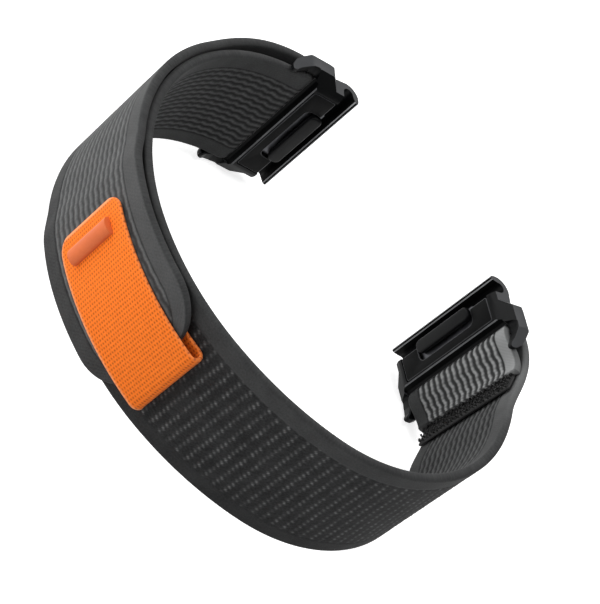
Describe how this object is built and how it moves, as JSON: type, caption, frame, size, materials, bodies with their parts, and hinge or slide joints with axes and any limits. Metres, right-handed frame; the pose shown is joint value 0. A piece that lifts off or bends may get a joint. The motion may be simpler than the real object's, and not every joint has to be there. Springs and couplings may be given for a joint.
{
  "type": "watch strap",
  "caption": "Woven nylon watch strap with a hook-and-loop flap, a webbing pull tab, and a hook connector with a push release on a sprung bar at each end.",
  "frame": {"origin": "bottom centre of the strap's bounds, on the plane that the lower edge stands on", "axes": "+Z along the strap's width, +Y from the bottom of the loop towards the gap for the watch, +X across the wrist towards the connector without the flap"},
  "size_m": [0.0722, 0.0652, 0.026],
  "materials": {
    "woven_nylon": "ribbed on the wrist side, loop pile outside",
    "hook_tape": "black hook pile",
    "orange_webbing": "fine plain weave",
    "orange_grip": "smooth moulded",
    "black_case_metal": "satin black coating",
    "latch_steel": "dark satin",
    "bar_steel": "satin",
    "spring_steel": "plain drawn wire"
  },
  "bodies": {
    "band": {"band_main": "woven_nylon", "end_hook_strip": "hook_tape"},
    "flap": {"flap_tip": "woven_nylon", "flap_hook_patch": "hook_tape", "pull_tab": "orange_webbing", "tab_bead": "orange_grip"},
    "left_connector": {"left_frame": "black_case_metal", "left_inner_cover": "black_case_metal", "left_spring_bar_tube": "bar_steel", "left_bar_spring": "spring_steel", "left_latch_spring_a": "spring_steel", "left_latch_spring_b": "spring_steel"},
    "left_latch": {"left_latch_plate": "latch_steel", "left_release_button": "black_case_metal"},
    "left_tip_upper": {"left_bar_tip_upper": "bar_steel"},
    "left_tip_lower": {"left_bar_tip_lower": "bar_steel"},
    "right_connector": {"right_frame": "black_case_metal", "right_inner_cover": "black_case_metal", "right_spring_bar_tube": "bar_steel", "right_bar_spring": "spring_steel", "right_latch_spring_a": "spring_steel", "right_latch_spring_b": "spring_steel"},
    "right_latch": {"right_latch_plate": "latch_steel", "right_release_button": "black_case_metal"},
    "right_tip_upper": {"right_bar_tip_upper": "bar_steel"},
    "right_tip_lower": {"right_bar_tip_lower": "bar_steel"}
  },
  "joints": [
    {"name": "flap_peel", "type": "hinge", "parent": "band", "child": "flap", "pos_m": [-0.03037, -0.01558, 0.013], "axis": [0, 0, -1], "range_deg": [0, 60]},
    {"name": "left_connector_turn", "type": "hinge", "parent": "band", "child": "left_connector", "pos_m": [-0.02456, 0.02674, 0.013], "axis": [0, 0, 1], "range_deg": [-35, 35]},
    {"name": "right_connector_turn", "type": "hinge", "parent": "band", "child": "right_connector", "pos_m": [0.02702, 0.02432, 0.013], "axis": [0, 0, 1], "range_deg": [-35, 35]},
    {"name": "left_latch_slide", "type": "slide", "parent": "left_connector", "child": "left_latch", "axis": [-0.8039, -0.5948, 0], "range_m": [0, 0.0009], "stiffness_N_per_m": 600, "springref_m": -0.0005, "deforming": ["left_latch_spring_a", "left_latch_spring_b"]},
    {"name": "right_latch_slide", "type": "slide", "parent": "right_connector", "child": "right_latch", "axis": [0.766, -0.6428, 0], "range_m": [0, 0.0009], "stiffness_N_per_m": 600, "springref_m": -0.0005, "deforming": ["right_latch_spring_a", "right_latch_spring_b"]},
    {"name": "left_tip_upper_slide", "type": "slide", "parent": "left_connector", "child": "left_tip_upper", "axis": [0, 0, -1], "range_m": [0, 0.0013], "stiffness_N_per_m": 400, "springref_m": -0.0008, "deforming": ["left_bar_spring"]},
    {"name": "left_tip_lower_slide", "type": "slide", "parent": "left_connector", "child": "left_tip_lower", "axis": [0, 0, 1], "range_m": [0, 0.0013], "stiffness_N_per_m": 400, "springref_m": -0.0008, "deforming": ["left_bar_spring"]},
    {"name": "right_tip_upper_slide", "type": "slide", "parent": "right_connector", "child": "right_tip_upper", "axis": [0, 0, -1], "range_m": [0, 0.0013], "stiffness_N_per_m": 400, "springref_m": -0.0008, "deforming": ["right_bar_spring"]},
    {"name": "right_tip_lower_slide", "type": "slide", "parent": "right_connector", "child": "right_tip_lower", "axis": [0, 0, 1], "range_m": [0, 0.0013], "stiffness_N_per_m": 400, "springref_m": -0.0008, "deforming": ["right_bar_spring"]}
  ]
}
